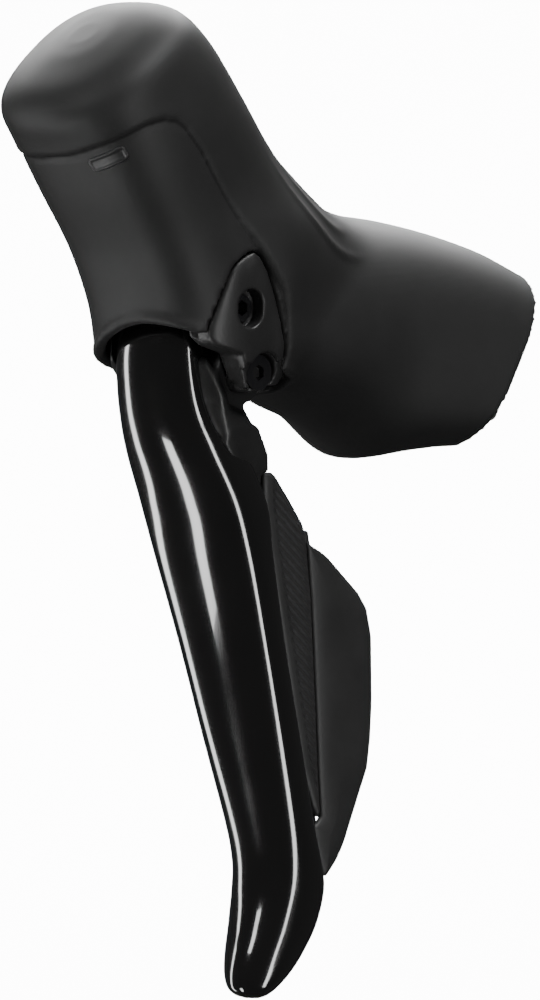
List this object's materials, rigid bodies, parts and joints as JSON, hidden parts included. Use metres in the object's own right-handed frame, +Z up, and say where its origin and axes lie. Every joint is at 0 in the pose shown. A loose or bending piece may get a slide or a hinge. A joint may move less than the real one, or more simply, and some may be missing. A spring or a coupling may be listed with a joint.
{
  "type": "brake shift lever",
  "caption": "Left-hand drop-bar brake lever with a horned rubber grip, a curved blade on a pivot and sprung electronic shift paddles behind it.",
  "frame": {"origin": "centre of the handlebar clamp, on the axis of the handlebar", "axes": "+Z up, -Y forward in the riding direction, +X outboard (the left side of the bicycle); the handlebar axis is (0, 0.5, 0.866)"},
  "size_m": [0.043, 0.1124, 0.1798],
  "materials": {
    "cover_rubber": "fine satin, moulded",
    "bracket_plastic": "fine moulded grain",
    "blade_black": "gloss black",
    "arm_black": "matt black",
    "switch_plastic": "matt, moulded",
    "steel": "plain",
    "black_steel": "black oxide",
    "piston_aluminium": "anodised",
    "olive_brass": "plain",
    "seal_rubber": "smooth",
    "bush_polymer": "self-lubricating",
    "board_green": "lacquered",
    "cell_steel": "plated",
    "contact_brass": "plated"
  },
  "bodies": {
    "bracket": {"bracket_body": "bracket_plastic", "grip_cover": "cover_rubber", "clamp_band": "steel", "clamp_nut": "steel", "band_anchor": "steel", "clamp_bolt": "black_steel", "hose_bolt": "steel", "hose_olive": "olive_brass", "reservoir_diaphragm": "seal_rubber", "reservoir_lid": "bracket_plastic", "lid_screws": "black_steel", "bleed_screw": "steel", "bleed_oring": "seal_rubber", "piston_circlip": "steel", "piston_spring": "steel", "lever_axle": "black_steel", "axle_clip": "steel", "return_spring": "steel", "coin_cells": "cell_steel", "battery_holder": "bracket_plastic", "battery_contact": "contact_brass", "battery_cover": "bracket_plastic", "cover_gasket": "seal_rubber", "circuit_board": "board_green"},
    "lever": {"lever_blade": "blade_black", "blade_screws": "black_steel", "lever_arm": "arm_black", "pivot_bushes": "bush_polymer", "roller_pin": "steel", "switch_base": "switch_plastic", "switch_pin": "steel", "base_screws": "black_steel", "switch_board": "board_green", "tact_switches": "cell_steel", "front_spring": "steel", "rear_spring": "steel"},
    "front_switch": {"front_paddle": "switch_plastic"},
    "rear_switch": {"rear_paddle": "switch_plastic"},
    "piston": {"master_piston": "piston_aluminium", "primary_cup": "seal_rubber", "secondary_seal": "seal_rubber", "push_rod": "steel"},
    "reach_adjuster": {"reach_screw": "black_steel"},
    "roller": {"push_roller": "steel"}
  },
  "joints": [
    {"name": "lever_pull", "type": "hinge", "parent": "bracket", "child": "lever", "pos_m": [0, -0.0605, 0.0015], "axis": [1, 0, 0], "range_deg": [0, 23], "stiffness_Nm_per_rad": 0.4, "springref_deg": -20.05, "deforming": ["return_spring"]},
    {"name": "piston_slide", "type": "slide", "parent": "bracket", "child": "piston", "axis": [0, -0.6428, 0.766], "range_m": [0, 0.0049], "deforming": ["piston_spring"]},
    {"name": "front_switch_press", "type": "hinge", "parent": "lever", "child": "front_switch", "pos_m": [0.00743, -0.0539, -0.01976], "axis": [-0.0866, -0.1145, 0.9896], "range_deg": [0, 4], "stiffness_Nm_per_rad": 0.02, "springref_deg": -8.59, "deforming": ["front_spring"]},
    {"name": "rear_switch_press", "type": "hinge", "parent": "lever", "child": "rear_switch", "pos_m": [0.00743, -0.0539, -0.01976], "axis": [-0.0866, -0.1145, 0.9896], "range_deg": [0, 4.5], "stiffness_Nm_per_rad": 0.03, "springref_deg": -8.59, "deforming": ["rear_spring"]},
    {"name": "roller_turn", "type": "hinge", "parent": "lever", "child": "roller", "pos_m": [0, -0.05131, 0.00921], "axis": [1, 0, 0], "continuous": true},
    {"name": "reach_screw_turn", "type": "hinge", "parent": "bracket", "child": "reach_adjuster", "pos_m": [0.0124, -0.065, 0.0132], "axis": [1, 0, 0], "range_deg": [0, 180]}
  ],
  "couplings": [
    {"joint": "piston_slide", "follows": "lever_pull", "m_per_rad": 0.012}
  ]
}
